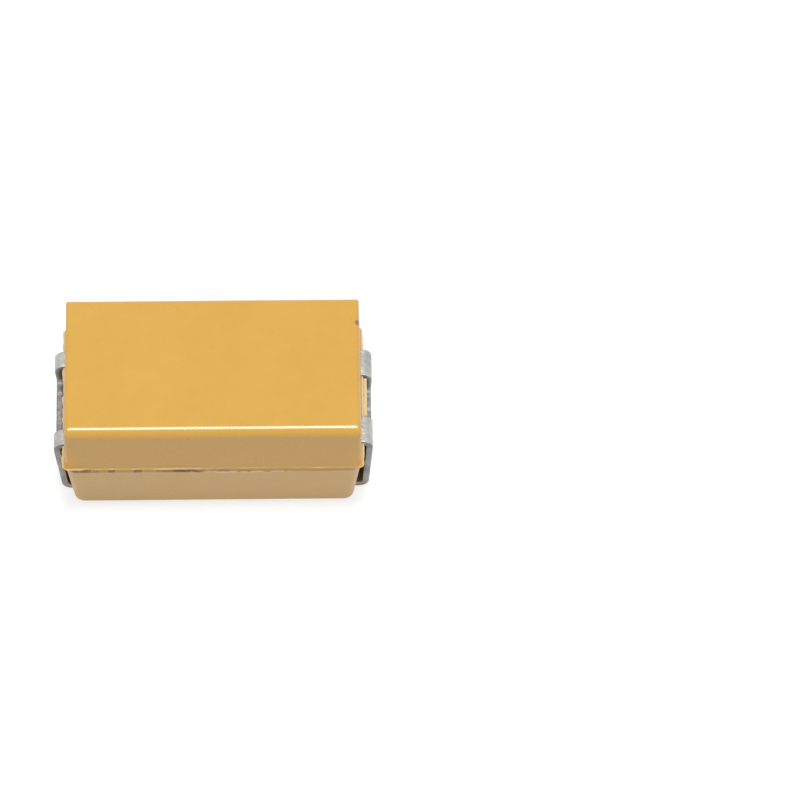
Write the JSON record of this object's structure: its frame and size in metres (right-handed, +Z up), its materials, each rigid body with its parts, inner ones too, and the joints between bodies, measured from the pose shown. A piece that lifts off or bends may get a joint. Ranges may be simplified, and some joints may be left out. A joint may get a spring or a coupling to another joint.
{
  "type": "tantalum capacitor",
  "caption": "Moulded surface-mount tantalum capacitor: a drafted gold-coloured epoxy block with a folded, tinned terminal wrapped under each end.",
  "frame": {"origin": "on the board, under the middle of the part", "axes": "+X along the case from the anode end to the cathode end, +Y across the case, +Z up off the board"},
  "size_m": [0.006, 0.0032, 0.0026],
  "materials": {
    "epoxy": "gold-coloured transfer-moulded epoxy, satin, with a fine mould grain",
    "tinned_lead": "matte tin plating over a nickel-iron sheet, rolled and lightly dulled",
    "sintered_tantalum": "matte grey sintered powder",
    "tantalum_metal": "drawn wire, blue-grey",
    "washer_plastic": "white fluoropolymer, waxy",
    "manganese_dioxide": "dull brown-black crystalline coat",
    "graphite": "dull dark-grey carbon coat",
    "silver_paint": "matte silver-filled paint",
    "silver_adhesive": "matte silver-filled epoxy"
  },
  "bodies": {
    "root": {"moulded_case": "epoxy", "anode_terminal": "tinned_lead", "cathode_terminal": "tinned_lead", "tantalum_pellet": "sintered_tantalum", "tantalum_wire": "tantalum_metal", "insulating_washer": "washer_plastic", "manganese_dioxide_coat": "manganese_dioxide", "graphite_coat": "graphite", "silver_coat": "silver_paint", "silver_adhesive": "silver_adhesive"}
  },
  "joints": []
}
